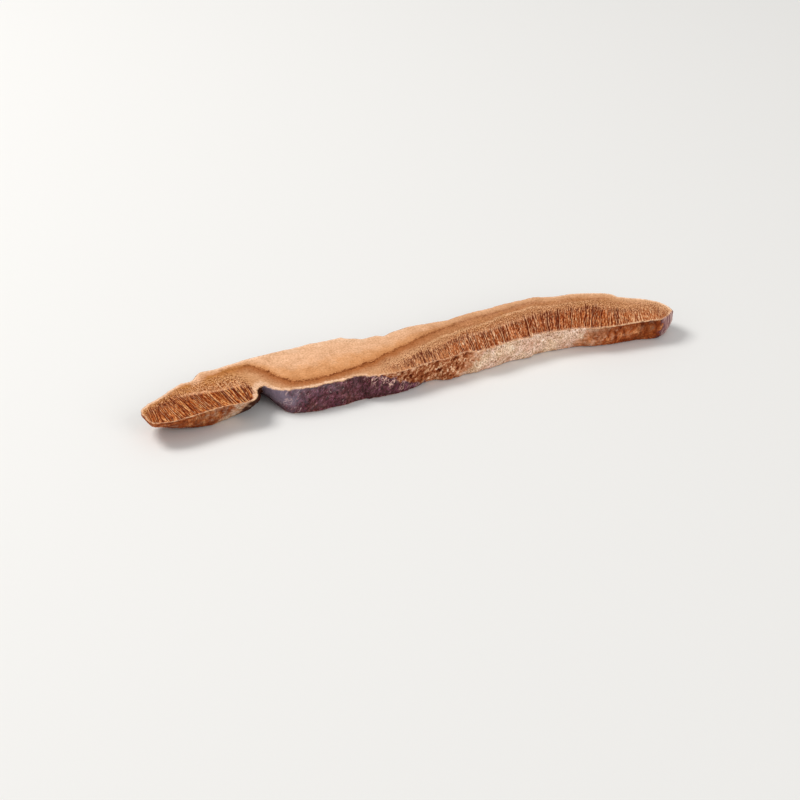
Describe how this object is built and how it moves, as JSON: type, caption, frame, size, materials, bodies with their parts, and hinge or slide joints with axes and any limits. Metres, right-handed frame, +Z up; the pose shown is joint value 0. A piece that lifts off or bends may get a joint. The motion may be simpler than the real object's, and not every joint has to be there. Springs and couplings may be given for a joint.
{
  "type": "dried reishi mushroom slice",
  "caption": "Long slice cut through a dried reishi cap, with pale flesh, a layer of fine brown tubes, a glossy purple-brown crust and a rounded lobe behind a notch, lying on its flat cut face.",
  "frame": {"origin": "bottom centre of the slice's own box, on the surface that it lies on", "axes": "+X along the slice towards its tapered end, +Y towards the crust, +Z up through the slice's thickness"},
  "size_m": [0.1296, 0.0252, 0.0058],
  "materials": {
    "dried_fungus": "dry corky flesh and open brown tubes on the cut faces, with a glossy purple-brown crust and a whitish, finely pored skin on the walls"
  },
  "bodies": {
    "root": {"reishi_slice": "dried_fungus"}
  },
  "joints": []
}
